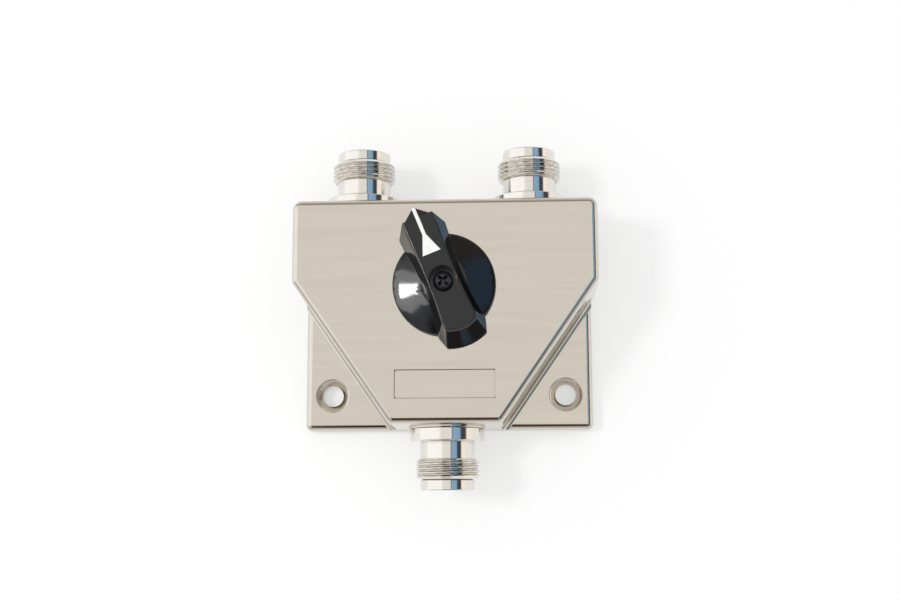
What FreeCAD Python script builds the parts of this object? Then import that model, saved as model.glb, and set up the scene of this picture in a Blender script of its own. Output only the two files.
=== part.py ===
import FreeCAD, Part
import math
import os
from FreeCAD import Vector

# Two-way coaxial antenna switch in a die-cast case.
# Lengths are in millimetres. The case lies on its back: +X runs to the right across the face, +Y towards
# the two output sockets and +Z out of the face. The origin is the knob's axis at the back plane.

# Case casting
face_width = 74.6
face_top = 21.6
face_bottom = 33.2
face_bottom_width = 27.0
shoulder_y = 1.3
body_depth = 25.0
draft_deg = 1.5
corner_radius = 2.2
face_edge_radius = 1.6
side_wall = 2.6
front_wall = 3.0

# Mounting ears
ear_width = 73.2
ear_thickness = 4.5
ear_corner_radius = 1.5
ear_side_radius = 1.6
ear_foot_radius = 1.3
mount_spacing = 59.5
mount_y = -25.0
mount_hole_diameter = 5.3
mount_sink_diameter = 8.4

# Bare recess in the face, below the knob
recess_width = 24.1
recess_height = 6.7
recess_depth = 0.5
recess_y = -23.8

# Back cover and its screws
cover_thickness = 2.0
cover_ledge = 1.6
cover_gap = 0.15
boss_radius = 3.3
top_boss_inset = 2.8
boss_gap = 0.3
low_boss_x = 12.8
low_boss_rise = 8.6
cover_screw_radius = 1.25
cover_screw_length = 9.0
cover_head_radius = 2.8
screw_gap = 0.05

# Sockets, measured outwards from the collar's seat on the case
output_inset = 16.3
output_seat_depth = 0.7
common_pad_height = 0.7
collar_radius = 9.2
collar_length = 3.1
neck_radius = 6.7
neck_length = 4.4
thread_radius = 7.9375
thread_length = 4.8
thread_chamfer = 0.45
groove_radius = 6.3
groove_length = 0.25
lip_radius = 6.65
lip_length = 2.5
lip_chamfer = 0.3
mouth_radius = 4.05
mouth_depth = 9.1
barrel_radius = 6.35
barrel_length = 6.6
barrel_hole_gap = 0.05
seat_margin = 0.3
liner_radius = 3.6
liner_gap = 0.03
nut_across_flats = 15.0
nut_thickness = 3.0

# Centre contacts
contact_radius = 1.52
contact_tip_depth = 4.3
contact_bore_radius = 0.8
contact_bore_depth = 6.0
contact_slot_width = 0.35
contact_slot_depth = 4.4
tail_radius = 1.2
tail_length = 4.2

# Fixed strips inside the case
strip_thickness = 0.5
strip_width = 3.6
link_width = 2.4
jaw_inner_radius = 9.3
jaw_outer_radius = 14.8
jaw_spacer_length = 1.2
wipe_gap = 0.1

# Selector: shaft, bush, blades and detent
throw_deg = 45.0
shaft_radius = 3.0
shaft_tail = 1.4
shaft_flat_depth = 0.5
shaft_collar_radius = 4.2
shaft_collar_length = 0.7
bush_radius = 4.5
bush_flange_radius = 6.3
bush_flange_length = 1.4
bush_nose = 1.2
running_gap = 0.05
axial_gap = 0.2
bore_gap = 0.02
ring_radius = 5.0
ring_thickness = 0.6
ring_groove_depth = 0.4
ring_mouth = 4.2
blade_thickness = 0.6
blade_width = 3.2
blade_reach = 13.3
hub_radius = 6.0
hub_spigot_radius = 4.0
hub_drop = 4.5
rivet_radius = 0.5
fork_thickness = 0.6
fork_leg_radius = 7.5
wheel_radius = 9.0
wheel_thickness = 2.0
notch_radius = 1.35
notch_centre = 9.4
stop_pin_radius = 0.75
stop_pin_circle = 7.4
stop_pin_depth = 1.8
stop_side_gap = 0.1
stop_play_deg = 1.0

# Detent leaf spring
leaf_thickness = 0.4
leaf_width = 4.2
leaf_left = 7.0
leaf_right = 9.0
leaf_bump_gap = 0.15
leaf_tab_length = 6.0
leaf_tab_width = 6.0
leaf_screw_radius = 1.25
leaf_screw_depth = 1.8
leaf_screw_head_radius = 2.2
leaf_screw_head_height = 1.2

# Knob, measured along its pointer
knob_rest_deg = 22.0
knob_gap = 0.6
skirt_radius = 12.45
skirt_rim = 1.2
skirt_rise = 1.9
skirt_edge_radius = 0.35
skirt_pocket_inner = 8.2
skirt_pocket_outer = 11.2
skirt_pocket_depth = 0.7
bar_height = 8.4
bar_foot = 1.0
bar_bevel = 0.5
bar_bevel_share = 0.86
bar_base_tail = 15.6
bar_base_tail_corner = 14.5
bar_base_tail_width = 10.2
bar_base_hip = 11.4
bar_base_hip_width = 12.2
bar_base_waist = 11.0
bar_base_shoulder = 14.0
bar_base_width = 12.0
bar_top_tail = 12.2
bar_top_tail_corner = 11.2
bar_top_tail_width = 7.4
bar_top_hip = 9.4
bar_top_hip_width = 7.6
bar_top_waist = 7.0
bar_top_shoulder = 16.0
bar_top_width = 7.4
bar_prow = 2.2
waist_place = -1.0
nose_drop = 1.3
nose_side_fall = 0.35
well_radius = 3.25
well_depth = 3.4
knob_web = 1.0
knob_screw_radius = 1.25
knob_screw_head_radius = 2.4
knob_screw_head_height = 1.5
knob_screw_crown = 0.6
knob_screw_length = 6.0
counterbore_gap = 1.5
mark_depth = 0.25
mark_line_width = 0.85
mark_start = 6.7
mark_neck = 11.4
mark_base_width = 4.5

# Heights and places that follow from the sizes above
draft_growth = body_depth * math.tan(math.radians(draft_deg))
cavity_top = body_depth - front_wall
axis_height = body_depth / 2
output_x = face_width / 2 - output_inset
output_seat_y = face_top - output_seat_depth
common_seat_y = -face_bottom - common_pad_height
socket_reach = collar_length + neck_length + thread_length + groove_length + lip_length
hub_end_height = axis_height - hub_drop
shaft_end_height = hub_end_height - shaft_tail
blade_bottom = axis_height + strip_thickness + wipe_gap
blade_top = blade_bottom + blade_thickness
upper_leaf_bottom = blade_top + wipe_gap
bush_bottom = cavity_top - bush_flange_length
bush_top = body_depth + bush_nose
collar_top = bush_bottom - axial_gap
wheel_top = collar_top - shaft_collar_length
wheel_bottom = wheel_top - wheel_thickness
fork_bottom = wheel_bottom - fork_thickness
ring_bottom = bush_top + axial_gap
knob_base = body_depth + knob_gap
knob_top = knob_base + bar_height
well_floor = knob_top - well_depth
shaft_top = well_floor - knob_web - axial_gap
shaft_flat_bottom = ring_bottom + ring_thickness + axial_gap / 2
inner_top = face_top - side_wall
inner_bottom = side_wall - face_bottom
UP = Vector(0, 0, 1)
OUT = Vector(0, 1, 0)
BIG = 4 * face_width


def cylinder(radius, x, y, z0, z1):
    return Part.makeCylinder(radius, z1 - z0, Vector(x, y, z0), UP)


def block(x0, x1, y0, y1, z0, z1):
    return Part.makeBox(x1 - x0, y1 - y0, z1 - z0, Vector(x0, y0, z0))


def turned(profile, axis):
    """Solid of revolution of a closed (radius, distance along the axis) profile."""
    if axis == UP:
        points = [Vector(r, 0, d) for r, d in profile]
    else:
        points = [Vector(r, d, 0) for r, d in profile]
    face = Part.Face(Part.makePolygon(points + points[:1]))
    return face.revolve(Vector(0, 0, 0), axis, 360)


def prism(points, z0, z1):
    """Straight prism over a closed plan outline."""
    corners = [Vector(x, y, z0) for x, y in points]
    face = Part.Face(Part.makePolygon(corners + corners[:1]))
    return face.extrude(Vector(0, 0, z1 - z0))


def turned_about_axis(shape, degrees):
    """The shape turned about the knob's axis, counter-clockwise seen from the face."""
    copy = shape.copy()
    copy.rotate(Vector(0, 0, 0), UP, degrees)
    return copy


def strap(start, end, width, z0, z1):
    """Flat strap with round ends between two plan points."""
    (x0, y0), (x1, y1) = start, end
    length = math.hypot(x1 - x0, y1 - y0)
    bar = block(-width / 2, width / 2, 0, length, z0, z1)
    bar = bar.fuse([cylinder(width / 2, 0, 0, z0, z1), cylinder(width / 2, 0, length, z0, z1)])
    bar = bar.removeSplitter()
    bar.rotate(Vector(0, 0, 0), UP, math.degrees(math.atan2(-(x1 - x0), y1 - y0)))
    bar.translate(Vector(x0, y0, 0))
    return bar


def case_outline(growth):
    """Corners of the six-sided face, with every side moved outwards by growth."""
    half, low = face_width / 2, face_bottom_width / 2
    right = [(low, -face_bottom), (half, shoulder_y), (half, face_top)]
    points = right + [(-x, y) for x, y in reversed(right)]
    moved = []
    count = len(points)
    for i in range(count):
        before, here, after = points[i - 1], points[i], points[(i + 1) % count]
        first = math.atan2(here[1] - before[1], here[0] - before[0]) - math.pi / 2
        second = math.atan2(after[1] - here[1], after[0] - here[0]) - math.pi / 2
        reach = growth / math.cos((second - first) / 2)
        middle = (first + second) / 2
        if abs(second - first) > math.pi:
            middle += math.pi
            reach = -reach
        moved.append((here[0] + reach * math.cos(middle), here[1] + reach * math.sin(middle)))
    return moved


def wire_at(points, z):
    corners = [Vector(x, y, z) for x, y in points]
    return Part.makePolygon(corners + corners[:1])


def boss_places():
    """Centres of the four screw bosses in the case's corners."""
    inner_x = face_width / 2 - side_wall - top_boss_inset
    top_y = output_seat_y - barrel_length - boss_gap - boss_radius
    low_y = low_boss_rise - face_bottom
    return [(inner_x, top_y), (-inner_x, top_y), (low_boss_x, low_y), (-low_boss_x, low_y)]


def sink(x, y, wide_z, narrow_z, wide, narrow):
    """Countersink cone between two heights."""
    low, high = sorted((wide_z, narrow_z))
    radii = (wide, narrow) if wide_z < narrow_z else (narrow, wide)
    return Part.makeCone(radii[0], radii[1], high - low, Vector(x, y, low), UP)


def outer_casting():
    """Drafted block with rounded corners and face edge, and the two ears with their fillets."""
    back, front = wire_at(case_outline(draft_growth), 0), wire_at(case_outline(0), body_depth)
    body = Part.makeLoft([back, front], True, True)
    upright = [e for e in body.Edges if e.BoundBox.ZLength > body_depth / 2]
    body = body.makeFillet(corner_radius, upright)
    rim = [e for e in body.Edges if e.BoundBox.ZMin > body_depth - 0.01]
    body = body.makeFillet(face_edge_radius, rim)
    half, bottom = ear_width / 2, -face_bottom - draft_growth
    ears = block(-half, half, bottom, shoulder_y, 0, ear_thickness)
    outer = [e for e in ears.Edges if e.BoundBox.ZLength > ear_thickness / 2 and e.BoundBox.YMax < 0]
    ears = ears.makeFillet(ear_corner_radius, outer)
    sides = [e for e in ears.Edges if e.BoundBox.ZMin > ear_thickness - 0.01
             and e.BoundBox.XLength < 0.01]
    ears = ears.makeFillet(ear_side_radius, sides)
    return body, ears


def foot_fillets(body):
    """Concave fillets where the slanted walls stand on the ears."""
    level = ear_thickness
    growth = draft_growth * (1 - level / body_depth)
    corners = case_outline(growth)
    start, end = Vector(*corners[0], level), Vector(*corners[1], level)
    along = (end - start).normalize()
    outward = Vector(along.y, -along.x, 0)
    r = ear_foot_radius
    inside = start - outward * r
    corner = start + outward * r
    top = start + Vector(0, 0, r)
    middle = start + outward * (r - r * math.sin(math.pi / 4)) + Vector(0, 0, r - r * math.cos(math.pi / 4))
    arc = Part.Arc(corner, middle, top).toShape()
    lines = [
        Part.makeLine(top, inside + Vector(0, 0, r)),
        Part.makeLine(inside + Vector(0, 0, r), inside - Vector(0, 0, r)),
        Part.makeLine(inside - Vector(0, 0, r), corner - Vector(0, 0, r)),
        Part.makeLine(corner - Vector(0, 0, r), corner),
    ]
    section = Part.Face(Part.Wire([arc] + lines))
    fillet = section.extrude(along * (end - start).Length)
    bottom = -face_bottom - draft_growth
    column = block(0, ear_width / 2, bottom, shoulder_y, 0, body_depth)
    fillet = fillet.common(column)
    return [fillet, fillet.mirror(Vector(0, 0, 0), Vector(1, 0, 0))]


def make_housing():
    body, ears = outer_casting()
    pad_depth = inner_bottom - common_seat_y
    seat_radius = collar_radius + seat_margin
    pad = Part.makeCylinder(seat_radius, pad_depth, Vector(0, common_seat_y, axis_height), OUT)
    casting = body.fuse([ears, pad] + foot_fillets(body))
    rabbet = prism(case_outline(cover_ledge - side_wall), 0, cover_thickness)
    cavity = prism(case_outline(-side_wall), 0, cavity_top)
    bosses = [cylinder(boss_radius, x, y, cover_thickness, cavity_top) for x, y in boss_places()]
    casting = casting.cut(cavity.cut(bosses)).cut(rabbet)
    cuts = [cylinder(cover_screw_radius + screw_gap, x, y, cover_thickness, cover_screw_length + 1)
            for x, y in boss_places()]
    hole = barrel_radius + barrel_hole_gap
    for side in (-1, 1):
        x = side * output_x
        cuts.append(Part.makeCylinder(hole, BIG, Vector(x, inner_top - 1, axis_height), OUT))
        cuts.append(Part.makeCylinder(seat_radius, BIG, Vector(x, output_seat_y, axis_height), OUT))
        x = side * mount_spacing / 2
        narrow, wide = mount_hole_diameter / 2, mount_sink_diameter / 2
        cuts.append(cylinder(narrow, x, mount_y, -1, ear_thickness + 1))
        cuts.append(sink(x, mount_y, ear_thickness, ear_thickness - wide + narrow, wide, narrow))
    cuts.append(Part.makeCylinder(hole, BIG, Vector(0, inner_bottom + 1, axis_height), OUT.negative()))
    cuts.append(cylinder(bush_radius, 0, 0, cavity_top - 1, body_depth + 1))
    cuts.append(cylinder(stop_pin_radius, 0, stop_pin_circle, cavity_top - 1, cavity_top + stop_pin_depth))
    tab_x, tab_y = leaf_screw_place()
    screw_hole = leaf_screw_radius + screw_gap
    cuts.append(cylinder(screw_hole, tab_x, tab_y, cavity_top - 1, cavity_top + leaf_screw_depth))
    half, low = recess_width / 2, recess_y - recess_height / 2
    cuts.append(block(-half, half, low, low + recess_height, body_depth - recess_depth, body_depth + 1))
    return casting.cut(cuts).removeSplitter()


def make_back_cover():
    plate = prism(case_outline(cover_ledge - side_wall - cover_gap), 0, cover_thickness)
    shank = cover_screw_radius + 2 * screw_gap
    cuts = []
    for x, y in boss_places():
        cuts.append(cylinder(shank, x, y, -1, cover_thickness + 1))
        wide = cover_head_radius + 2 * screw_gap
        cuts.append(sink(x, y, 0, wide - shank, wide, shank))
    return plate.cut(cuts)


def make_cover_screws():
    head, shank, end = cover_head_radius, cover_screw_radius, cover_screw_length
    screw = turned([(0, 0), (head, 0), (shank, head - shank), (shank, end), (0, end)], UP)
    screws = []
    for x, y in boss_places():
        one = screw.copy()
        one.translate(Vector(x, y, screw_gap))
        screws.append(one)
    return Part.makeCompound(screws)


def socket_places():
    """Each socket's name, seat and turn about +Z from pointing along +Y."""
    return [
        ("common", Vector(0, common_seat_y, axis_height), 180),
        ("output_1", Vector(-output_x, output_seat_y, axis_height), 0),
        ("output_2", Vector(output_x, output_seat_y, axis_height), 0),
    ]


def place(shape, seat, degrees):
    copy = shape.copy()
    copy.rotate(Vector(0, 0, 0), UP, degrees)
    copy.translate(seat)
    return copy


def socket_shell():
    """Turned nickel-plated jack body: collar, neck, threaded ring, groove, lip and rear barrel."""
    outside = [(barrel_radius, -barrel_length), (barrel_radius, 0), (collar_radius, 0)]
    d = collar_length
    outside += [(collar_radius, d), (neck_radius, d)]
    d += neck_length
    outside += [(neck_radius, d), (thread_radius - thread_chamfer, d), (thread_radius, d + thread_chamfer)]
    d += thread_length
    outside += [(thread_radius, d - thread_chamfer), (thread_radius - thread_chamfer, d), (groove_radius, d)]
    d += groove_length
    outside += [(groove_radius, d), (lip_radius, d), (lip_radius, socket_reach - lip_chamfer)]
    outside += [(lip_radius - lip_chamfer, socket_reach), (mouth_radius + lip_chamfer, socket_reach)]
    floor = socket_reach - mouth_depth
    inside = [(mouth_radius, socket_reach - lip_chamfer), (mouth_radius, floor)]
    inside += [(liner_radius, floor), (liner_radius, -barrel_length)]
    return turned(outside + inside, OUT)


def socket_insulator():
    """White dielectric bead that fills the shell behind the mouth."""
    outer, inner = liner_radius - liner_gap, contact_radius + liner_gap
    floor = socket_reach - mouth_depth
    return turned([(inner, -barrel_length), (outer, -barrel_length), (outer, floor), (inner, floor)], OUT)


def centre_contact():
    """Slotted female contact with a half-round solder tail."""
    tip = socket_reach - contact_tip_depth
    tail_end = -barrel_length - tail_length
    profile = [(0, tail_end), (tail_radius, tail_end), (tail_radius, -barrel_length)]
    profile += [(contact_radius, -barrel_length), (contact_radius, tip)]
    profile += [(contact_bore_radius, tip), (contact_bore_radius, tip - contact_bore_depth)]
    profile += [(0, tip - contact_bore_depth)]
    contact = turned(profile, OUT)
    half = contact_slot_width / 2
    upright = block(-half, half, tip - contact_slot_depth, tip + 1, -2 * contact_radius, 2 * contact_radius)
    level = upright.copy()
    level.rotate(Vector(0, 0, 0), OUT, 90)
    flat = block(-contact_radius, contact_radius, tail_end - 1, -barrel_length, 0, contact_radius)
    return contact.cut([upright, level, flat])


def make_socket_nuts():
    """Hexagon nuts that clamp the three barrels against the inside of the case."""
    corner = nut_across_flats / 2 / math.cos(math.pi / 6)
    angles = [i * math.pi / 3 for i in range(7)]
    hexagon = [Vector(corner * math.cos(a), 0, corner * math.sin(a)) for a in angles]
    nut = Part.Face(Part.makePolygon(hexagon)).extrude(Vector(0, nut_thickness, 0))
    nut = nut.cut(Part.makeCylinder(barrel_radius + barrel_hole_gap, BIG, Vector(0, -BIG / 2, 0), OUT))
    nuts = []
    for name, seat, degrees in socket_places():
        inner = inner_top - nut_thickness if degrees == 0 else inner_bottom
        one = nut.copy()
        one.translate(Vector(seat.x, inner, axis_height))
        nuts.append(one)
    return Part.makeCompound(nuts)


def make_output_strip(side):
    """Strip from an output's tail to a pair of spring jaws on that side's throw angle."""
    tail_y = output_seat_y - barrel_length - tail_length / 2
    angle = -side * math.radians(throw_deg / 2)
    direction = Vector(-math.sin(angle), math.cos(angle), 0)
    inner = direction * (jaw_inner_radius + strip_width / 2)
    outer = direction * jaw_outer_radius
    low, high = axis_height, axis_height + strip_thickness
    lower = strap((inner.x, inner.y), (outer.x, outer.y), strip_width, low, high)
    run = strap((outer.x, outer.y), (side * output_x, tail_y), link_width, low, high)
    roof = upper_leaf_bottom + strip_thickness
    upper = strap((inner.x, inner.y), (outer.x, outer.y), strip_width, upper_leaf_bottom, roof)
    start = jaw_outer_radius - jaw_spacer_length
    spacer = block(-strip_width / 2, strip_width / 2, start, jaw_outer_radius, low, roof)
    spacer.rotate(Vector(0, 0, 0), UP, math.degrees(angle))
    return lower.fuse([run, upper, spacer]).removeSplitter()


def make_common_strip():
    """Strip from the common tail to the wiping ring round the rotor's spigot."""
    tail_y = common_seat_y + barrel_length + tail_length / 2
    low, high = axis_height, axis_height + strip_thickness
    run = strap((0, 0), (0, tail_y), strip_width, low, high)
    ring = cylinder(hub_radius, 0, 0, low, high)
    hole = cylinder(hub_spigot_radius + running_gap, 0, 0, low - 1, high + 1)
    return run.fuse(ring).cut(hole).removeSplitter()


def make_bush():
    """Flanged bearing pressed into the face from inside."""
    bore = shaft_radius + running_gap
    return turned([
        (bore, bush_bottom), (bush_flange_radius, bush_bottom), (bush_flange_radius, cavity_top),
        (bush_radius, cavity_top), (bush_radius, bush_top), (bore, bush_top)], UP)


def flat_cutter(z0, z1, gap):
    """The half space that gives the shaft its flat, a gap away from the axis side."""
    start = shaft_radius - shaft_flat_depth + gap
    return block(start, start + BIG, -BIG / 2, BIG / 2, z0, z1)


def shaft_bore(z0, z1):
    """D-shaped hole that keys a part to the shaft."""
    return cylinder(shaft_radius + bore_gap, 0, 0, z0, z1).cut(flat_cutter(z0 - 1, z1 + 1, bore_gap))


def make_shaft():
    """Shaft with its collar, flats, ring groove and tapped end."""
    shaft = cylinder(shaft_radius, 0, 0, shaft_end_height, shaft_top)
    shaft = shaft.fuse(cylinder(shaft_collar_radius, 0, 0, wheel_top, collar_top))
    groove = cylinder(BIG, 0, 0, ring_bottom, ring_bottom + ring_thickness)
    core = cylinder(shaft_radius - ring_groove_depth, 0, 0, ring_bottom, ring_bottom + ring_thickness)
    cuts = [groove.cut(core)]
    cuts.append(flat_cutter(shaft_end_height - 1, wheel_top, 0))
    cuts.append(flat_cutter(shaft_flat_bottom, shaft_top + 1, 0))
    tapped = well_floor - knob_screw_length - 1
    cuts.append(cylinder(knob_screw_radius + screw_gap, 0, 0, tapped, shaft_top + 1))
    clip_low = hub_end_height - ring_thickness
    groove = cylinder(BIG, 0, 0, clip_low, hub_end_height)
    cuts.append(groove.cut(cylinder(shaft_radius - ring_groove_depth, 0, 0, clip_low, hub_end_height)))
    return turned_about_axis(shaft.cut(cuts), knob_rest_deg)


def snap_ring(z0):
    """E-shaped clip in a groove of the shaft, open on one side."""
    z1 = z0 + ring_thickness
    ring = cylinder(ring_radius, 0, 0, z0, z1)
    ring = ring.cut(cylinder(shaft_radius - ring_groove_depth + bore_gap, 0, 0, z0, z1))
    return ring.cut(block(-ring_mouth / 2, ring_mouth / 2, 0, BIG, z0, z1))


def make_signal_blade():
    """Flat blade from the wiping ring to the selected output's jaws."""
    reach = blade_reach - blade_width / 2
    blade = strap((0, 0), (0, reach), blade_width, blade_bottom, blade_top)
    blade = blade.fuse(cylinder(hub_radius, 0, 0, blade_bottom, blade_top))
    cuts = [cylinder(hub_spigot_radius, 0, 0, blade_bottom, blade_top)]
    cuts += [cylinder(rivet_radius, x, y, blade_bottom, blade_top) for x, y in rivet_places()]
    return turned_about_axis(blade.cut(cuts).removeSplitter(), throw_deg / 2)


def rivet_places():
    circle = (hub_spigot_radius + hub_radius) / 2
    return [(-circle, 0), (circle, 0)]


def make_rotor_hub():
    """Insulating hub: a flange that carries the blade and a spigot for the wiping ring."""
    hub = cylinder(hub_spigot_radius, 0, 0, hub_end_height, blade_top)
    hub = hub.fuse(cylinder(hub_radius, 0, 0, blade_top, fork_bottom)).removeSplitter()
    holes = [cylinder(rivet_radius, x, y, blade_top, fork_bottom) for x, y in rivet_places()]
    hub = turned_about_axis(hub.cut(holes), throw_deg / 2)
    return hub.cut(turned_about_axis(shaft_bore(hub_end_height - 1, fork_bottom + 1), knob_rest_deg))


def make_blade_rivets():
    rivets = [cylinder(rivet_radius, x, y, blade_bottom, fork_bottom) for x, y in rivet_places()]
    return turned_about_axis(Part.makeCompound(rivets), throw_deg / 2)


def make_ground_fork():
    """Plate on the shaft with two stepped arms that earth the output not in use."""
    half = blade_width / 2
    fork = cylinder(hub_radius, 0, 0, fork_bottom, wheel_bottom)
    outer_leg = fork_leg_radius + fork_thickness
    for side in (-1, 1):
        arm = block(-half, half, 0, outer_leg, fork_bottom, wheel_bottom)
        leg = block(-half, half, fork_leg_radius, outer_leg, blade_bottom, wheel_bottom)
        foot = strap((0, outer_leg), (0, blade_reach - half), blade_width, blade_bottom, blade_top)
        foot = foot.cut(block(-BIG, BIG, -BIG, fork_leg_radius, -BIG, BIG))
        arm = arm.fuse([leg, foot])
        fork = fork.fuse(turned_about_axis(arm, throw_deg / 2 + side * throw_deg))
    fork = fork.removeSplitter()
    return fork.cut(turned_about_axis(shaft_bore(fork_bottom - 1, wheel_bottom + 1), knob_rest_deg))


def make_detent_wheel():
    """Index wheel with one notch for each throw and an arc slot for the stop pin."""
    wheel = cylinder(wheel_radius, 0, 0, wheel_bottom, wheel_top)
    cuts = []
    for turn in (0, throw_deg):
        notch = cylinder(notch_radius, 0, -notch_centre, wheel_bottom, wheel_top)
        cuts.append(turned_about_axis(notch, turn))
    slot_half = stop_pin_radius + stop_side_gap
    swing = throw_deg + 2 * stop_play_deg
    start = 90 - stop_play_deg
    low = Vector(0, 0, wheel_bottom)
    outer = Part.makeCylinder(stop_pin_circle + slot_half, wheel_thickness, low, UP, swing)
    inner = cylinder(stop_pin_circle - slot_half, 0, 0, wheel_bottom, wheel_top)
    cuts.append(turned_about_axis(outer.cut(inner), start))
    for turn in (start, start + swing):
        cuts.append(turned_about_axis(cylinder(slot_half, stop_pin_circle, 0, wheel_bottom, wheel_top), turn))
    cuts.append(turned_about_axis(shaft_bore(wheel_bottom - 1, wheel_top + 1), knob_rest_deg))
    return wheel.cut(cuts)


def make_stop_pin():
    low, high = wheel_bottom + axial_gap, cavity_top + stop_pin_depth
    return cylinder(stop_pin_radius, 0, stop_pin_circle, low, high)


def leaf_face_y():
    """The side of the leaf that faces the wheel."""
    return -notch_centre - notch_radius + leaf_bump_gap + leaf_thickness / 2


def leaf_screw_place():
    return leaf_right + leaf_tab_length / 2, leaf_face_y() - leaf_tab_width / 2


def make_detent_spring():
    """Leaf on edge with a formed bump in the wheel's notch and a tab screwed to the case."""
    face = leaf_face_y()
    low = cavity_top - leaf_width
    right = leaf_right + leaf_tab_length
    leaf = block(-leaf_left, right, face - leaf_thickness, face, low, cavity_top)
    bump = cylinder(notch_radius - leaf_bump_gap, 0, -notch_centre, wheel_bottom, wheel_top)
    tab = block(leaf_right, right, face - leaf_tab_width, face, cavity_top - leaf_thickness, cavity_top)
    x, y = leaf_screw_place()
    hole = cylinder(leaf_screw_radius + screw_gap, x, y, cavity_top - 1, cavity_top + 1)
    return leaf.fuse([bump, tab]).cut(hole).removeSplitter()


def make_detent_screw():
    x, y = leaf_screw_place()
    seat = cavity_top - leaf_thickness
    head = cylinder(leaf_screw_head_radius, x, y, seat - leaf_screw_head_height, seat)
    return head.fuse(cylinder(leaf_screw_radius, x, y, seat, cavity_top + leaf_screw_depth)).removeSplitter()


def bar_section(z, tail, corner, widths, hip, shoulder):
    """Outline of the pointer bar at one height: round tail, hips, drawn-in sides and a prow."""
    tail_half, hip_half, waist_half, shoulder_half = [width / 2 for width in widths]
    tip = Vector(0, shoulder + bar_prow, z)
    tails = [Vector(side * tail_half, -corner, z) for side in (-1, 1)]
    edges = [Part.Arc(tails[1], Vector(0, -tail, z), tails[0]).toShape()]
    for side in (-1, 1):
        hips = Vector(side * hip_half, -hip, z)
        shoulders = Vector(side * shoulder_half, shoulder, z)
        curve = Part.BSplineCurve()
        curve.interpolate([hips, Vector(side * waist_half, waist_place, z), shoulders])
        edges.append(Part.makeLine(tails[0] if side < 0 else tails[1], hips))
        edges.append(curve.toShape())
        edges.append(Part.makeLine(shoulders, tip))
    return Part.Wire(Part.__sortEdges__(edges))


def bar_wire(share, z):
    """Bar outline at a share of the way from its foot to its top face."""
    def between(low, high):
        return low + share * (high - low)
    widths = [
        between(bar_base_tail_width, bar_top_tail_width), between(bar_base_hip_width, bar_top_hip_width),
        between(bar_base_waist, bar_top_waist), between(bar_base_width, bar_top_width)]
    return bar_section(
        z, between(bar_base_tail, bar_top_tail), between(bar_base_tail_corner, bar_top_tail_corner),
        widths, between(bar_base_hip, bar_top_hip), between(bar_base_shoulder, bar_top_shoulder))


def nose_roof():
    """What is cut away above the nose, so that it falls to both sides and to its tip."""
    half = bar_base_width
    eave = knob_top - half * nose_side_fall
    points = [(-half, eave), (0, knob_top), (half, eave), (half, knob_top + half), (-half, knob_top + half)]
    corners = [Vector(x, bar_top_shoulder, z) for x, z in points]
    face = Part.Face(Part.makePolygon(corners + corners[:1]))
    return face.extrude(Vector(0, bar_prow, -nose_drop) * 3)


def mark_outline():
    """Pointer line that widens into a triangle towards the knob's middle."""
    line, base = mark_line_width / 2, mark_base_width / 2
    return [
        (-base, mark_start), (base, mark_start), (line, mark_neck), (line, bar_top_shoulder),
        (-line, bar_top_shoulder), (-line, mark_neck)]


def make_knob():
    """Round skirt with a sloping pointer bar, a screw well and the hollows under it."""
    rim = knob_base + skirt_rim
    edge = skirt_edge_radius
    skirt = turned([
        (0, knob_base), (skirt_radius - edge, knob_base), (skirt_radius, knob_base + edge),
        (skirt_radius, rim - edge), (skirt_radius - edge, rim),
        (bar_base_width / 2, rim + skirt_rise), (0, rim + skirt_rise)], UP)
    foot = knob_base + bar_foot
    bevel = bar_wire(bar_bevel_share, knob_top - bar_bevel)
    bar = Part.makeLoft([bar_wire(0, foot), bevel, bar_wire(1, knob_top)], True, True)
    knob = skirt.fuse(bar.cut(nose_roof()))
    counterbore = ring_bottom + ring_thickness + axial_gap
    pocket = cylinder(skirt_pocket_outer, 0, 0, knob_base - 1, knob_base + skirt_pocket_depth)
    pocket = pocket.cut(cylinder(skirt_pocket_inner, 0, 0, knob_base - 1, knob_base + skirt_pocket_depth))
    cuts = [
        cylinder(ring_radius + counterbore_gap, 0, 0, knob_base - 1, counterbore),
        pocket,
        shaft_bore(knob_base, well_floor - knob_web),
        cylinder(knob_screw_radius + 2 * screw_gap, 0, 0, knob_base, knob_top),
        cylinder(well_radius, 0, 0, well_floor, knob_top + 1),
        prism(mark_outline(), knob_top - mark_depth, knob_top + 1),
    ]
    return turned_about_axis(knob.cut(cuts).removeSplitter(), knob_rest_deg)


def make_pointer_mark():
    return turned_about_axis(prism(mark_outline(), knob_top - mark_depth, knob_top), knob_rest_deg)


def make_knob_screw():
    head = knob_screw_head_radius
    top = well_floor + knob_screw_head_height
    return turned([
        (0, well_floor - knob_screw_length), (knob_screw_radius, well_floor - knob_screw_length),
        (knob_screw_radius, well_floor), (head, well_floor), (head, top - knob_screw_crown),
        (head - knob_screw_crown, top), (0, top)], UP)


def write(name, shape):
    shape.exportStep("parts/" + name + ".step")
    print(name, len(shape.Solids), shape.isValid(), round(shape.Volume, 1))


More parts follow.
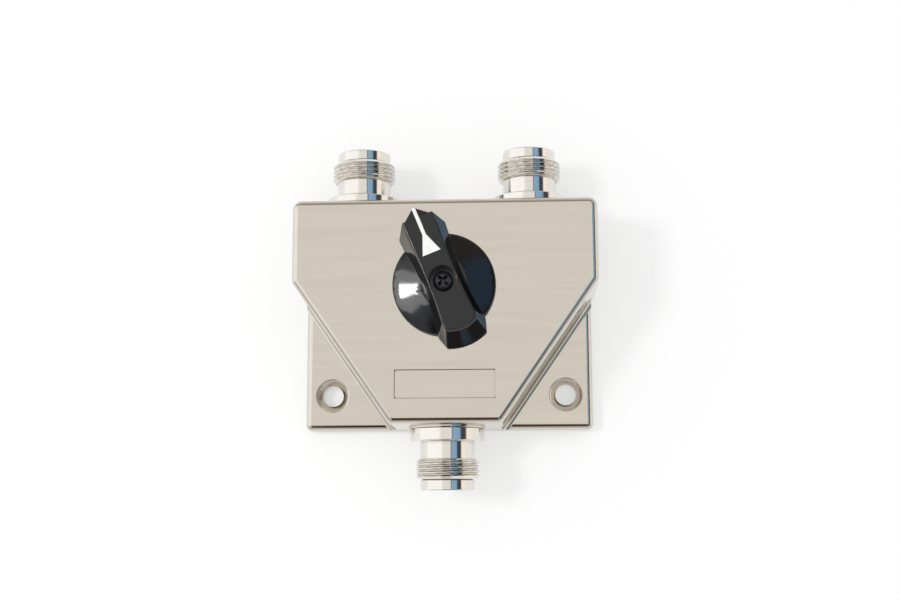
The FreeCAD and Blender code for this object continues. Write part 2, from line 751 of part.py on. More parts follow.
os.makedirs("parts", exist_ok=True)
write("housing", make_housing())
write("back_cover", make_back_cover())
write("back_cover_screws", make_cover_screws())
for name, seat, degrees in socket_places():
    write(name + "_socket_shell", place(socket_shell(), seat, degrees))
    write(name + "_socket_insulator", place(socket_insulator(), seat, degrees))
    write(name + "_centre_contact", place(centre_contact(), seat, degrees))
write("socket_nuts", make_socket_nuts())
write("common_strip", make_common_strip())
write("output_1_strip", make_output_strip(-1))
write("output_2_strip", make_output_strip(1))
write("shaft_bush", make_bush())
write("detent_spring", make_detent_spring())
write("detent_spring_screw", make_detent_screw())
write("stop_pin", make_stop_pin())
write("shaft", make_shaft())
write("shaft_retaining_ring", turned_about_axis(snap_ring(ring_bottom), knob_rest_deg))
write("detent_wheel", make_detent_wheel())
write("ground_fork", make_ground_fork())
write("rotor_hub", make_rotor_hub())
write("signal_blade", make_signal_blade())
write("blade_rivets", make_blade_rivets())
write("rotor_clip", turned_about_axis(snap_ring(hub_end_height - ring_thickness), knob_rest_deg))
write("knob", make_knob())
write("pointer_mark", make_pointer_mark())
write("knob_screw", make_knob_screw())
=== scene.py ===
import bmesh
import bpy
import math
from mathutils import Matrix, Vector


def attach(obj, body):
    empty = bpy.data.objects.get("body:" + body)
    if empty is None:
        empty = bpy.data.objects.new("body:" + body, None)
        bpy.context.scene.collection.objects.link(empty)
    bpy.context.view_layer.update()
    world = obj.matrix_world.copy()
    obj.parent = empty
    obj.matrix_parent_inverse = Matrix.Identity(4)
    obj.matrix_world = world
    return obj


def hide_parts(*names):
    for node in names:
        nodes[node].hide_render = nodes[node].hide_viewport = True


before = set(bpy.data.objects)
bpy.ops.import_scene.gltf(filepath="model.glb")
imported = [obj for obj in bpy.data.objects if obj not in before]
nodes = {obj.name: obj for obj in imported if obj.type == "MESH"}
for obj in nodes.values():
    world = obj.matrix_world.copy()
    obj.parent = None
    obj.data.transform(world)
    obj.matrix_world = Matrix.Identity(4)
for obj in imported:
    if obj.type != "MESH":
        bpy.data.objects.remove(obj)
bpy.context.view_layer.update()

# Camera, floor and studio
# The camera looks down on the face, as the photograph does. Shiny surfaces mirror a room that is bright on
# its left, blue between dark frames on its right and near sides, and brown-grey at its far side.
MM = 0.001
FRAME_WIDTH_PX = 900
FOCAL_PX = 1209.86
SENSOR_MM = 36.0
camera_place = Vector((14.59, -48.76, 312.5)) * MM
camera_turn = (8.90, 2.67, -0.22)

camera_data = bpy.data.cameras.new("camera")
camera_data.sensor_width = SENSOR_MM
camera_data.lens = FOCAL_PX / FRAME_WIDTH_PX * SENSOR_MM
camera = bpy.data.objects.new("camera", camera_data)
camera.location = camera_place
camera.rotation_euler = [math.radians(angle) for angle in camera_turn]
bpy.context.scene.collection.objects.link(camera)
bpy.context.scene.camera = camera
bpy.context.scene.view_settings.view_transform = "Standard"


def new_node(tree, kind, **settings):
    """Adds a node and sets its properties."""
    node = tree.nodes.new(kind)
    for key, value in settings.items():
        setattr(node, key, value)
    return node


def link(tree, source, target):
    """Joins an output to an input, or writes a plain value into it."""
    if isinstance(source, bpy.types.NodeSocket):
        tree.links.new(source, target)
    else:
        target.default_value = source


def calculate(tree, operation, *values):
    """One sum on plain values or other nodes' outputs."""
    node = new_node(tree, "ShaderNodeMath", operation=operation)
    for value, target in zip(values, node.inputs):
        link(tree, value, target)
    return node.outputs[0]


def ramp(tree, value, stops):
    """Colour ramp from (place, colour) stops."""
    node = new_node(tree, "ShaderNodeValToRGB")
    elements = node.color_ramp.elements
    elements[1].position = stops[-1][0]
    elements[0].position = stops[0][0]
    for place, _ in stops[1:-1]:
        elements.new(place)
    for element, (_, colour) in zip(elements, stops):
        element.color = (*colour, 1)
    link(tree, value, node.inputs["Fac"])
    return node.outputs["Color"]


def blended(tree, share, first, second):
    """Mix of two colours, each a plain colour or another node's output."""
    node = new_node(tree, "ShaderNodeMix", data_type="RGBA")
    link(tree, share, node.inputs["Factor"])
    for source, target in ((first, node.inputs[6]), (second, node.inputs[7])):
        link(tree, (*source, 1) if isinstance(source, tuple) else source, target)
    return node.outputs[2]


def fade(tree, value, start, end):
    """Share that grows smoothly from 0 to 1 between two values."""
    node = new_node(tree, "ShaderNodeMapRange", interpolation_type="SMOOTHSTEP")
    link(tree, value, node.inputs["Value"])
    node.inputs["From Min"].default_value = start
    node.inputs["From Max"].default_value = end
    return node.outputs[0]


ROOM_LEVEL = (0.86, 0.86, 0.86)
SHOWN_WHITE = (1.0, 1.0, 1.0)
ZENITH = (0.93, 0.915, 0.885)
ROOM_BANDS = [
    (-180, (0.55, 0.55, 0.56)), (-100, (0.60, 0.60, 0.61)), (-88, (1.22, 1.22, 1.23)),
    (-24, (1.20, 1.19, 1.18)), (-15, ZENITH), (15, ZENITH), (18, (0.13, 0.11, 0.10)),
    (21, (0.30, 0.50, 0.74)), (40, (0.27, 0.46, 0.68)), (47, (0.06, 0.06, 0.07)),
    (60, (0.07, 0.065, 0.06)), (66, (1.15, 1.06, 0.95)), (92, (1.05, 0.97, 0.88)),
    (104, (0.22, 0.19, 0.16)), (180, (0.30, 0.29, 0.28)),
]
NEAR_BANDS = [
    (-1.0, (0.60, 0.62, 0.66)), (-0.34, (0.66, 0.68, 0.72)), (-0.2, (0.05, 0.045, 0.04)),
    (-0.12, (0.05, 0.035, 0.03)), (0.1, (0.11, 0.05, 0.035)), (0.18, (0.05, 0.05, 0.05)),
    (0.24, (0.22, 0.46, 0.76)), (0.36, (0.18, 0.40, 0.66)), (0.44, (0.06, 0.06, 0.06)),
    (1.0, (0.14, 0.13, 0.12)),
]
FAR_SIDE = (0.36, 0.31, 0.27)
LOW_ENDS = (0.64, 0.615, 0.58)
NEAR_FADE = (-0.12, -0.36)
FAR_FADE = (0.42, 0.62)
LOW_FADE = (0.60, 0.45)

world = bpy.data.worlds.new("studio_room")
bpy.context.scene.world = world
world.use_nodes = True
tree = world.node_tree
direction = new_node(tree, "ShaderNodeSeparateXYZ")
link(tree, new_node(tree, "ShaderNodeTexCoord").outputs["Generated"], direction.inputs[0])
turn = calculate(tree, "ARCTAN2", direction.outputs["X"], direction.outputs["Z"])
around = calculate(tree, "MULTIPLY_ADD", turn, 0.5 / math.pi, 0.5)
bands = ramp(tree, around, [(0.5 + degrees / 360, colour) for degrees, colour in ROOM_BANDS])
sideways = calculate(tree, "MULTIPLY_ADD", direction.outputs["X"], 0.5, 0.5)
near = ramp(tree, sideways, [(0.5 + place / 2, colour) for place, colour in NEAR_BANDS])
low = fade(tree, direction.outputs["Z"], *LOW_FADE)
near = blended(tree, low, near, LOW_ENDS)
far = blended(tree, low, FAR_SIDE, LOW_ENDS)
bands = blended(tree, fade(tree, direction.outputs["Y"], *NEAR_FADE), bands, near)
bands = blended(tree, fade(tree, direction.outputs["Y"], *FAR_FADE), bands, far)
rays = new_node(tree, "ShaderNodeLightPath")
seen = blended(tree, rays.outputs["Is Glossy Ray"], ROOM_LEVEL, bands)
seen = blended(tree, rays.outputs["Is Camera Ray"], seen, SHOWN_WHITE)
link(tree, seen, tree.nodes["Background"].inputs["Color"])

FLOOR_HALF = 1.5
FLOOR_DROP = 0.3 * MM
FLOOR_GREY = (0.46, 0.46, 0.46, 1)
FLOOR_GLOW = 0.53
floor_mesh = bpy.data.meshes.new("floor")
corners = [(x * FLOOR_HALF, y * FLOOR_HALF, -FLOOR_DROP) for x, y in ((-1, -1), (1, -1), (1, 1), (-1, 1))]
floor_mesh.from_pydata(corners, [], [(0, 1, 2, 3)])
floor = bpy.data.objects.new("floor", floor_mesh)
bpy.context.scene.collection.objects.link(floor)
paper = bpy.data.materials.new("floor_paper")
paper.use_nodes = True
tree = paper.node_tree
tree.nodes.clear()
rays = new_node(tree, "ShaderNodeLightPath")
shown = calculate(tree, "MAXIMUM", rays.outputs["Is Camera Ray"], rays.outputs["Is Glossy Ray"])
shown = calculate(tree, "MAXIMUM", shown, rays.outputs["Is Transmission Ray"])
matt = new_node(tree, "ShaderNodeBsdfDiffuse")
matt.inputs["Color"].default_value = FLOOR_GREY
glow = new_node(tree, "ShaderNodeEmission")
link(tree, calculate(tree, "MULTIPLY", shown, FLOOR_GLOW), glow.inputs["Strength"])
both = new_node(tree, "ShaderNodeAddShader")
link(tree, matt.outputs[0], both.inputs[0])
link(tree, glow.outputs[0], both.inputs[1])
clear = new_node(tree, "ShaderNodeBsdfTransparent")
sided = new_node(tree, "ShaderNodeMixShader")
link(tree, new_node(tree, "ShaderNodeNewGeometry").outputs["Backfacing"], sided.inputs[0])
link(tree, both.outputs[0], sided.inputs[1])
link(tree, clear.outputs[0], sided.inputs[2])
link(tree, sided.outputs[0], new_node(tree, "ShaderNodeOutputMaterial").inputs["Surface"])
floor_mesh.materials.append(paper)

WINDOW_DIRECTION = (-0.57, 0.06, 0.80)


def window_light(name, distance, size, energy, glossy):
    """Square lamp in the window's direction that shows either in diffuse light or in reflections."""
    data = bpy.data.lights.new(name, "AREA")
    data.size = size
    data.energy = energy
    lamp = bpy.data.objects.new(name, data)
    lamp.location = Vector(WINDOW_DIRECTION) * distance
    lamp.rotation_euler = lamp.location.to_track_quat("Z", "Y").to_euler()
    lamp.visible_glossy = glossy
    lamp.visible_diffuse = not glossy
    bpy.context.scene.collection.objects.link(lamp)
    return lamp


window_light("window", distance=0.9, size=0.15, energy=2.0, glossy=False)

# Case casting
# One zinc die casting: a six-sided box with drafted walls, two mounting ears and a shallow bare recess in
# its face, polished and bright nickel plated all over.
EDGE_ANGLE = math.radians(32)
FLAT_ANGLE = math.radians(0.5)
WELD = 0.0005 * MM
BEVEL_SEGMENTS = 2
FLAT_WEIGHT = 100
GRAIN_DETAIL = 3.0
GRAIN_LOW, GRAIN_HIGH = 0.3, 0.7
ROUGHNESS_FINENESS = 3
SHADER_SAMPLES = 8
# Painted shade: a dark brown tone, and the occlusion range over which it darkens crevices and undercuts.
PAINTED_CREVICE_SHADE = (0.16, 0.095, 0.05)
CREVICE_SHADE_FADE = (0.72, 0.25)


def grain(tree, scale, stretch):
    """Noise on the piece's own coordinates, in features per metre."""
    mapping = new_node(tree, "ShaderNodeMapping")
    mapping.inputs["Scale"].default_value = stretch
    link(tree, new_node(tree, "ShaderNodeTexCoord").outputs["Object"], mapping.inputs["Vector"])
    texture = new_node(tree, "ShaderNodeTexNoise")
    texture.inputs["Scale"].default_value = scale
    texture.inputs["Detail"].default_value = GRAIN_DETAIL
    link(tree, mapping.outputs["Vector"], texture.inputs["Vector"])
    return texture.outputs["Fac"]


def within(tree, value, low, high):
    """Spreads a noise value over a range."""
    node = new_node(tree, "ShaderNodeMapRange")
    link(tree, value, node.inputs["Value"])
    node.inputs["From Min"].default_value = GRAIN_LOW
    node.inputs["From Max"].default_value = GRAIN_HIGH
    node.inputs["To Min"].default_value = low
    node.inputs["To Max"].default_value = high
    return node.outputs[0]


def raised(tree, height, depth, below):
    """Bump of a depth in metres, on top of soft edges where they are given."""
    node = new_node(tree, "ShaderNodeBump")
    node.inputs["Strength"].default_value = 1.0
    node.inputs["Distance"].default_value = depth
    link(tree, height, node.inputs["Height"])
    if below:
        link(tree, below, node.inputs["Normal"])
    return node.outputs[0]


def finish_material(name, light, dark, roughness, metallic=1.0, patch=90, streak=(1, 1, 1), fine=2500,
                    bump=1.5e-6, edge=0.0, painted_shade_reach=0.0):
    """Finish with slow tone patches, a wandering roughness and a fine bump; soft edges, and painted shade in
    crevices.

    Patch and fine count features per metre, the bump is in metres; edge and the painted shade's reach are in
    millimetres.
    """
    material = bpy.data.materials.new(name)
    material.use_nodes = True
    tree = material.node_tree
    shader = tree.nodes["Principled BSDF"]
    shader.inputs["Metallic"].default_value = metallic
    colour = ramp(tree, grain(tree, patch, streak), [(GRAIN_LOW, dark), (GRAIN_HIGH, light)])
    # Painted shade: ambient occlusion within the given reach blends the base colour towards dark brown in
    # crevices, undercuts and recesses.
    if painted_shade_reach:
        shade_occlusion = new_node(tree, "ShaderNodeAmbientOcclusion", samples=SHADER_SAMPLES)
        shade_occlusion.inputs["Distance"].default_value = painted_shade_reach * MM
        colour = blended(tree, fade(tree, shade_occlusion.outputs["AO"], *CREVICE_SHADE_FADE), colour, PAINTED_CREVICE_SHADE)
    link(tree, colour, shader.inputs["Base Color"])
    wander = within(tree, grain(tree, patch * ROUGHNESS_FINENESS, streak), *roughness)
    link(tree, wander, shader.inputs["Roughness"])
    soft = None
    if edge:
        soft_edges = new_node(tree, "ShaderNodeBevel", samples=SHADER_SAMPLES)
        soft_edges.inputs["Radius"].default_value = edge * MM
        soft = soft_edges.outputs[0]
    link(tree, raised(tree, grain(tree, fine, streak), bump, soft), shader.inputs["Normal"])
    return material


def welded_copy(node, name):
    """A CAD node's shape as one closed mesh, without the normals that its triangles carried."""
    mesh = nodes[node].data.copy()
    mesh.name = name
    mesh.materials.clear()
    form = bmesh.new()
    form.from_mesh(mesh)
    bmesh.ops.remove_doubles(form, verts=form.verts, dist=WELD)
    bmesh.ops.dissolve_degenerate(form, edges=form.edges, dist=WELD)
    form.to_mesh(mesh)
    form.free()
    if "custom_normal" in mesh.attributes:
        mesh.attributes.remove(mesh.attributes["custom_normal"])
    return mesh


def apply_modifiers(piece):
    """Turns the evaluated result into the piece's plain mesh."""
    made = bpy.data.meshes.new_from_object(piece.evaluated_get(bpy.context.evaluated_depsgraph_get()))
    piece.modifiers.clear()
    piece.data = made


def shaded(piece, radius=0.0):
    """Links a piece, rounds its marked edges and gives it smooth shading that keeps flats flat."""
    bpy.context.scene.collection.objects.link(piece)
    if radius:
        rounding = piece.modifiers.new("edge_rounding", "BEVEL")
        rounding.width = radius * MM
        rounding.segments = BEVEL_SEGMENTS
        rounding.limit_method = "WEIGHT"
        rounding.use_clamp_overlap = False
        rounding.miter_outer = "MITER_ARC"
        apply_modifiers(piece)
    piece.data.shade_smooth()
    piece.data.set_sharp_from_angle(angle=EDGE_ANGLE)
    flats = piece.modifiers.new("flat_faces", "WEIGHTED_NORMAL")
    flats.keep_sharp = True
    flats.weight = FLAT_WEIGHT
    return piece


def finished_copy(node, name, radius, kept_sharp=None):
    """A CAD node's shape with its outer sharp edges rounded to a small radius in millimetres."""
    mesh = welded_copy(node, name)
    form = bmesh.new()
    form.from_mesh(mesh)
    bmesh.ops.dissolve_limit(form, angle_limit=FLAT_ANGLE, verts=form.verts, edges=form.edges)
    rounded = form.edges.layers.float.new("bevel_weight_edge")
    for edge in form.edges:
        turns_out = edge.is_manifold and edge.calc_face_angle_signed() > EDGE_ANGLE
        if turns_out and not (kept_sharp and any(kept_sharp(corner.co / MM) for corner in edge.verts)):
            edge[rounded] = 1.0
    form.to_mesh(mesh)
    form.free()
    return shaded(bpy.data.objects.new(name, mesh), radius)


OPENING_HALF_WIDTH = 36.9
OPENING_NEAR, OPENING_FAR = -32.6, 21.0
OPENING_HEIGHT = 4.4
EAR_END_FROM = 36.4
EAR_END_HALF_LENGTH = 2.5
EAR_END_HEIGHT = 5


def case_stays_sharp(place):
    """True in the back's opening, and where an ear's side runs out at the wall."""
    across, along = abs(place.x), place.y
    over_opening = across < OPENING_HALF_WIDTH and OPENING_NEAR < along < OPENING_FAR
    in_opening = over_opening and place.z < OPENING_HEIGHT
    at_ear_end = across > EAR_END_FROM and abs(along) < EAR_END_HALF_LENGTH and place.z < EAR_END_HEIGHT
    return in_opening or at_ear_end


# The casting's base colour carries painted shade in its crevices and recesses.
nickel = finish_material(
    "case_nickel", (0.680, 0.640, 0.570), (0.655, 0.612, 0.540), (0.10, 0.17),
    patch=350, streak=(0.10, 1.6, 1.0), fine=900, bump=1.2e-6, painted_shade_reach=0.9)
case = finished_copy("housing", "case_casting", 0.16, case_stays_sharp)
case.data.materials.append(nickel)
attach(case, "case")
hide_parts("housing")

# Back cover
# A flat sheet-metal plate let into a ledge at the back of the casting, nickel plated like it.
cover_nickel = finish_material(
    "cover_nickel", (0.66, 0.62, 0.56), (0.63, 0.59, 0.53), (0.16, 0.26),
    patch=80, streak=(1.5, 0.1, 1), bump=2e-6)
cover = finished_copy("back_cover", "back_cover_plate", 0.12)
cover.data.materials.append(cover_nickel)
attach(cover, "case")
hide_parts("back_cover")

# Sockets
# Three turned brass jacks, bright nickel plated: a collar against the case, a neck, a ring with a
# right-hand thread of 24 turns to the inch, an undercut and a plain lip round the mouth.
INCH = 25.4
THREAD_PITCH = INCH / 24
THREAD_RADIUS = 7.9375
THREAD_DEPTH = 0.52
THREAD_START, THREAD_END = 7.5, 12.3
THREAD_ROOT, THREAD_FLANK = 0.16, 0.70
THREAD_CHAMFER = 0.65
THREAD_LEAST_RADIUS = 7.0
THREAD_STEPS = 74
CORE_RADIUS = 7.3
CORNER_STEPS = 3
SAME_PLACE = 1e-4
SOCKET_SIDES = 128
AXIS_HEIGHT = 12.5
SEATS = {"common": (0.0, -33.9, -1), "output_1": (-21.0, 20.9, 1), "output_2": (21.0, 20.9, 1)}
SHELL_CORNERS = [
    (3.6, -6.6, 0), (6.35, -6.6, 0.1), (6.35, 0.0, 0), (9.2, 0.0, 0.12), (9.2, 3.1, 0.25), (6.7, 3.1, 0.15),
    (6.7, 7.5, 0.12), (CORE_RADIUS, THREAD_START, 0), (CORE_RADIUS, THREAD_END, 0), (6.3, 12.3, 0.05),
    (6.3, 12.55, 0.05), (6.65, 12.55, 0.08), (6.65, 15.05, 0.3), (4.05, 15.05, 0.3), (4.05, 5.95, 0.1),
    (3.6, 5.95, 0.05),
]


def rounded_profile(corners):
    """Closed profile whose corners are arcs of the radius that each names."""
    points = []
    for i, (r, d, radius) in enumerate(corners):
        here = Vector((r, d))
        if not radius:
            points.append(tuple(here))
            continue
        before = (Vector(corners[i - 1][:2]) - here).normalized()
        after = (Vector(corners[(i + 1) % len(corners)][:2]) - here).normalized()
        half = before.angle(after) / 2
        centre = here + (before + after).normalized() * (radius / math.sin(half))
        start = here + before * (radius / math.tan(half))
        end = here + after * (radius / math.tan(half))
        for step in range(CORNER_STEPS + 1):
            arm = (start - centre).lerp(end - centre, step / CORNER_STEPS)
            points.append(tuple(centre + arm.normalized() * radius))
    return points


def thread_radius(d, share):
    """Radius of the threaded ring at a distance along it and a share of a turn round it."""
    phase = ((d - THREAD_START) / THREAD_PITCH - share) % 1
    wave = abs(2 * phase - 1)
    height = min(1.0, max(0.0, (wave - THREAD_ROOT) / THREAD_FLANK))
    radius = THREAD_RADIUS - THREAD_DEPTH * (1 - height)
    for from_end in (d - THREAD_START, THREAD_END - d):
        radius = min(radius, max(THREAD_RADIUS - THREAD_CHAMFER + from_end, THREAD_LEAST_RADIUS))
    return radius


def plain_mesh(form, name):
    """Turns a form's faces outwards and makes it a mesh."""
    bmesh.ops.recalc_face_normals(form, faces=form.faces)
    mesh = bpy.data.meshes.new(name)
    form.to_mesh(mesh)
    form.free()
    return mesh


def finished_form(form, name):
    """A form as a smoothly shaded piece."""
    return shaded(bpy.data.objects.new(name, plain_mesh(form, name)))


def socket_shell(name, seat_x, seat_y, way):
    """The shell's profile turned round the socket's axis, with a thread on its ring."""
    profile = rounded_profile(SHELL_CORNERS)
    ring_start = (CORE_RADIUS, THREAD_START)
    first = next(i for i, place in enumerate(profile) if math.dist(place, ring_start) < SAME_PLACE)
    length = THREAD_END - THREAD_START
    rings = [(r, d, False) for r, d in profile[:first]]
    rings += [(0, THREAD_START + length * i / THREAD_STEPS, True) for i in range(THREAD_STEPS + 1)]
    rings += [(r, d, False) for r, d in profile[first + 2:]]
    form = bmesh.new()
    grid = []
    for r, d, threaded in rings:
        ring = []
        for i in range(SOCKET_SIDES):
            share = i / SOCKET_SIDES
            radius = thread_radius(d, share) if threaded else r
            across = radius * math.sin(2 * math.pi * share)
            up = radius * math.cos(2 * math.pi * share)
            place = Vector((seat_x + way * across, seat_y + way * d, AXIS_HEIGHT + up)) * MM
            ring.append(form.verts.new(place))
        grid.append(ring)
    for i, ring in enumerate(grid):
        after = grid[(i + 1) % len(grid)]
        for j in range(SOCKET_SIDES):
            k = (j + 1) % SOCKET_SIDES
            form.faces.new((ring[j], ring[k], after[k], after[j]))
    return finished_form(form, name)


def repainted(node, material):
    """Gives a CAD node that keeps its shape its real finish."""
    mesh = nodes[node].data
    mesh.materials.clear()
    mesh.materials.append(material)


# The sockets' base colour carries painted shade in their undercuts and between the thread's turns.
socket_nickel = finish_material(
    "socket_nickel", (0.80, 0.775, 0.73), (0.75, 0.725, 0.68), (0.05, 0.10),
    patch=500, streak=(0.4, 6.0, 0.4), fine=1600, bump=0.6e-6, painted_shade_reach=2.0)
insulator_white = finish_material(
    "insulator_white", (0.86, 0.86, 0.84), (0.80, 0.80, 0.78), (0.30, 0.42),
    metallic=0.0, patch=300, bump=2e-6)
contact_gold = finish_material(
    "contact_gold", (0.90, 0.66, 0.30), (0.84, 0.60, 0.26), (0.14, 0.24), patch=400, bump=1e-6)
for socket, (seat_x, seat_y, way) in SEATS.items():
    shell = socket_shell(socket + "_jack_shell", seat_x, seat_y, way)
    shell.data.materials.append(socket_nickel)
    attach(shell, "case")
    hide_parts(socket + "_socket_shell")
    repainted(socket + "_socket_insulator", insulator_white)
    repainted(socket + "_centre_contact", contact_gold)
repainted("socket_nuts", socket_nickel)

# Knob
# A glossy black moulded pointer knob: a round skirt, a bar with drawn-in flanks and a roofed nose, and a
# deep well for its screw.
KNOB_TURN = math.radians(22.0)
KNOB_TOP = 34.0
KNOB_IOR = 1.52
NOSE_FROM, NOSE_REACH, NOSE_GROWTH = 16.6, 17.8, 1.0
REFLECTED_LAMPS = [("window_pane", 0.8, 0.15, 1.7), ("window_halo", 1.1, 0.66, 3.6)]
knob_black = finish_material(
    "knob_black", (0.0050, 0.0054, 0.0064), (0.0032, 0.0035, 0.0044), (0.07, 0.12),
    metallic=0.0, patch=200, fine=2600, bump=1.5e-6, edge=0.2)
knob_black.node_tree.nodes["Principled BSDF"].inputs["IOR"].default_value = KNOB_IOR


def with_longer_nose(mesh):
    """Draws the nose's tip forward to the length that it shows from above."""
    forward = Vector((-math.sin(KNOB_TURN), math.cos(KNOB_TURN), 0))
    for corner in mesh.vertices:
        along = corner.co.y * math.cos(KNOB_TURN) - corner.co.x * math.sin(KNOB_TURN)
        share = (along / MM - NOSE_FROM) / (NOSE_REACH - NOSE_FROM)
        if share > 0:
            corner.co += forward * min(share, 1) * NOSE_GROWTH * MM
    return mesh


knob_mesh = with_longer_nose(welded_copy("knob", "pointer_knob"))
knob = shaded(bpy.data.objects.new("pointer_knob", knob_mesh))
knob.data.materials.append(knob_black)
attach(knob, "selector")
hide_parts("knob")
knob_light = bpy.data.collections.new("lit_by_the_window")
knob_light.objects.link(knob)
for name, distance, size, energy in REFLECTED_LAMPS:
    lamp = window_light(name, distance, size, energy, glossy=True)
    lamp.light_linking.receiver_collection = knob_light

# Pointer mark
# White paint in a shallow groove of the knob's top, from a triangle to a line, and on along the nose's
# ridge.
MARK_BASE_HALF, MARK_LINE_HALF = 2.25, 0.425
MARK_START, MARK_NECK = 6.7, 11.4
MARK_DEPTH = 0.25
NOSE_START, NOSE_END = 16.0, 18.6
NOSE_FALL, NOSE_SIDE_FALL = 1.05 / 2.78, 0.35
PAINT_HEIGHT = 0.02
MARK_OUTLINE = [
    (-MARK_BASE_HALF, MARK_START), (MARK_BASE_HALF, MARK_START), (MARK_LINE_HALF, MARK_NECK),
    (MARK_LINE_HALF, NOSE_START), (-MARK_LINE_HALF, NOSE_START), (-MARK_LINE_HALF, MARK_NECK),
]


def on_knob(x, y, z):
    """A place measured along the pointer, in metres on the switch."""
    across = x * math.cos(KNOB_TURN) - y * math.sin(KNOB_TURN)
    along = x * math.sin(KNOB_TURN) + y * math.cos(KNOB_TURN)
    return Vector((across, along, z)) * MM


def add_prism(form, low, high):
    """Closed prism between two outlines with the same number of corners."""
    bottom = [form.verts.new(place) for place in low]
    top = [form.verts.new(place) for place in high]
    form.faces.new(bottom)
    form.faces.new(top)
    for i in range(len(low)):
        k = (i + 1) % len(low)
        form.faces.new((bottom[i], bottom[k], top[k], top[i]))


mark_white = finish_material(
    "mark_white", (0.92, 0.92, 0.90), (0.86, 0.86, 0.83), (0.35, 0.50), metallic=0.0, patch=500, bump=3e-6)
form = bmesh.new()
add_prism(form, *[[on_knob(x, y, z) for x, y in MARK_OUTLINE] for z in (KNOB_TOP - MARK_DEPTH, KNOB_TOP)])
for half in (-MARK_LINE_HALF, MARK_LINE_HALF):
    corners = [(0, NOSE_START), (half, NOSE_START), (half, NOSE_END), (0, NOSE_END)]
    roof = [KNOB_TOP - (NOSE_FALL * (y - NOSE_START) + NOSE_SIDE_FALL * abs(x)) for x, y in corners]
    strip = []
    for rise in (-MARK_DEPTH, PAINT_HEIGHT):
        strip.append([on_knob(x, y, min(KNOB_TOP, height + rise)) for (x, y), height in zip(corners, roof)])
    add_prism(form, *strip)
bmesh.ops.triangulate(form, faces=[face for face in form.faces if len(face.verts) > 4])
mark = finished_form(form, "white_mark")
mark.data.materials.append(mark_white)
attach(mark, "selector")
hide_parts("pointer_mark")

# Knob screw
# A blackened steel pan-head screw with a cross recess, deep in the knob's well. It holds the knob on its
# shaft.
SCREW_SIDES = 48
SCREW_TURN = math.radians(48)
CROSS_FLOOR = 0.4
CUTTER_OVERSHOOT = 1.2
KNOB_SCREW_PROFILE = [
    (0, 24.6), (1.25, 24.6), (1.25, 30.6), (2.4, 30.6), (2.4, 31.45), (2.27, 31.72), (1.95, 31.93),
    (1.3, 32.06), (0, 32.1),
]


def add_turned(form, profile):
    """Closed turned body round the Z axis from (radius, height) corners that start and end on the axis."""
    rings = []
    angles = [2 * math.pi * i / SCREW_SIDES for i in range(SCREW_SIDES)]
    for radius, height in profile[1:-1]:
        rings.append([form.verts.new((radius * math.cos(a), radius * math.sin(a), height)) for a in angles])
    ends = [form.verts.new((0, 0, profile[0][1])), form.verts.new((0, 0, profile[-1][1]))]
    for i in range(SCREW_SIDES):
        k = (i + 1) % SCREW_SIDES
        form.faces.new((ends[0], rings[0][k], rings[0][i]))
        form.faces.new((ends[1], rings[-1][i], rings[-1][k]))
        for low, high in zip(rings, rings[1:]):
            form.faces.new((low[i], low[k], high[k], high[i]))


def cross_recessed(name, profile, reach, width, depth):
    """Screw body in millimetres, its head upwards, with a tapered cross recess cut by a boolean."""
    form = bmesh.new()
    add_turned(form, profile)
    screw = bpy.data.objects.new(name, plain_mesh(form, name))
    bpy.context.scene.collection.objects.link(screw)
    top = profile[-1][1]
    for crosswise in (False, True):
        outlines = []
        for share, height in ((CROSS_FLOOR, top - depth), (1.0, top)):
            long, short = reach * share, width / 2 * share
            corners = [(-long, -short), (long, -short), (long, short), (-long, short)]
            outlines.append([Vector((y, x, height) if crosswise else (x, y, height)) for x, y in corners])
        outlines[1] = [low.lerp(high, CUTTER_OVERSHOOT) for low, high in zip(*outlines)]
        cutter_form = bmesh.new()
        add_prism(cutter_form, *outlines)
        cutter = bpy.data.objects.new("cross_cutter", plain_mesh(cutter_form, "cross_cutter"))
        bpy.context.scene.collection.objects.link(cutter)
        cut = screw.modifiers.new("cross", "BOOLEAN")
        cut.operation = "DIFFERENCE"
        cut.solver = "EXACT"
        cut.object = cutter
        apply_modifiers(screw)
        bpy.data.objects.remove(cutter)
    return screw


screw_black = finish_material(
    "screw_black", (0.055, 0.055, 0.060), (0.030, 0.030, 0.033), (0.14, 0.24),
    metallic=0.6, patch=700, bump=2e-6)
knob_screw = cross_recessed("knob_pan_screw", KNOB_SCREW_PROFILE, reach=1.6, width=0.85, depth=1.4)
for corner in knob_screw.data.vertices:
    x, y, z = corner.co
    across = x * math.cos(SCREW_TURN) - y * math.sin(SCREW_TURN)
    along = x * math.sin(SCREW_TURN) + y * math.cos(SCREW_TURN)
    corner.co = Vector((across, along, z)) * MM
knob_screw.data.shade_smooth()
knob_screw.data.set_sharp_from_angle(angle=EDGE_ANGLE)
knob_screw.data.materials.append(screw_black)
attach(knob_screw, "selector")
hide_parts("knob_screw")

# Cover screws
# Four countersunk steel screws with cross recesses that hold the back cover in the casting's bosses.
SCREW_PLACES = [(-31.9, 10.7), (31.9, 10.7), (-12.8, -24.6), (12.8, -24.6)]
SCREW_SEED = 3
LARGEST_TURN = math.pi
COVER_SCREW_PROFILE = [
    (0, -9.05), (1.0, -9.05), (1.25, -8.7), (1.25, -1.65), (2.72, -0.17), (2.8, -0.09), (2.72, -0.05),
    (0, -0.05),
]
screw_steel = finish_material("screw_steel", (0.62, 0.61, 0.60), (0.52, 0.51, 0.50), (0.20, 0.32), patch=400)
master = cross_recessed("cover_screw_master", COVER_SCREW_PROFILE, reach=1.6, width=0.8, depth=1.3)
for corner in master.data.vertices:
    x, y, z = corner.co
    corner.co = Vector((x, -y, -z)) * MM
master.data.set_sharp_from_angle(angle=EDGE_ANGLE)


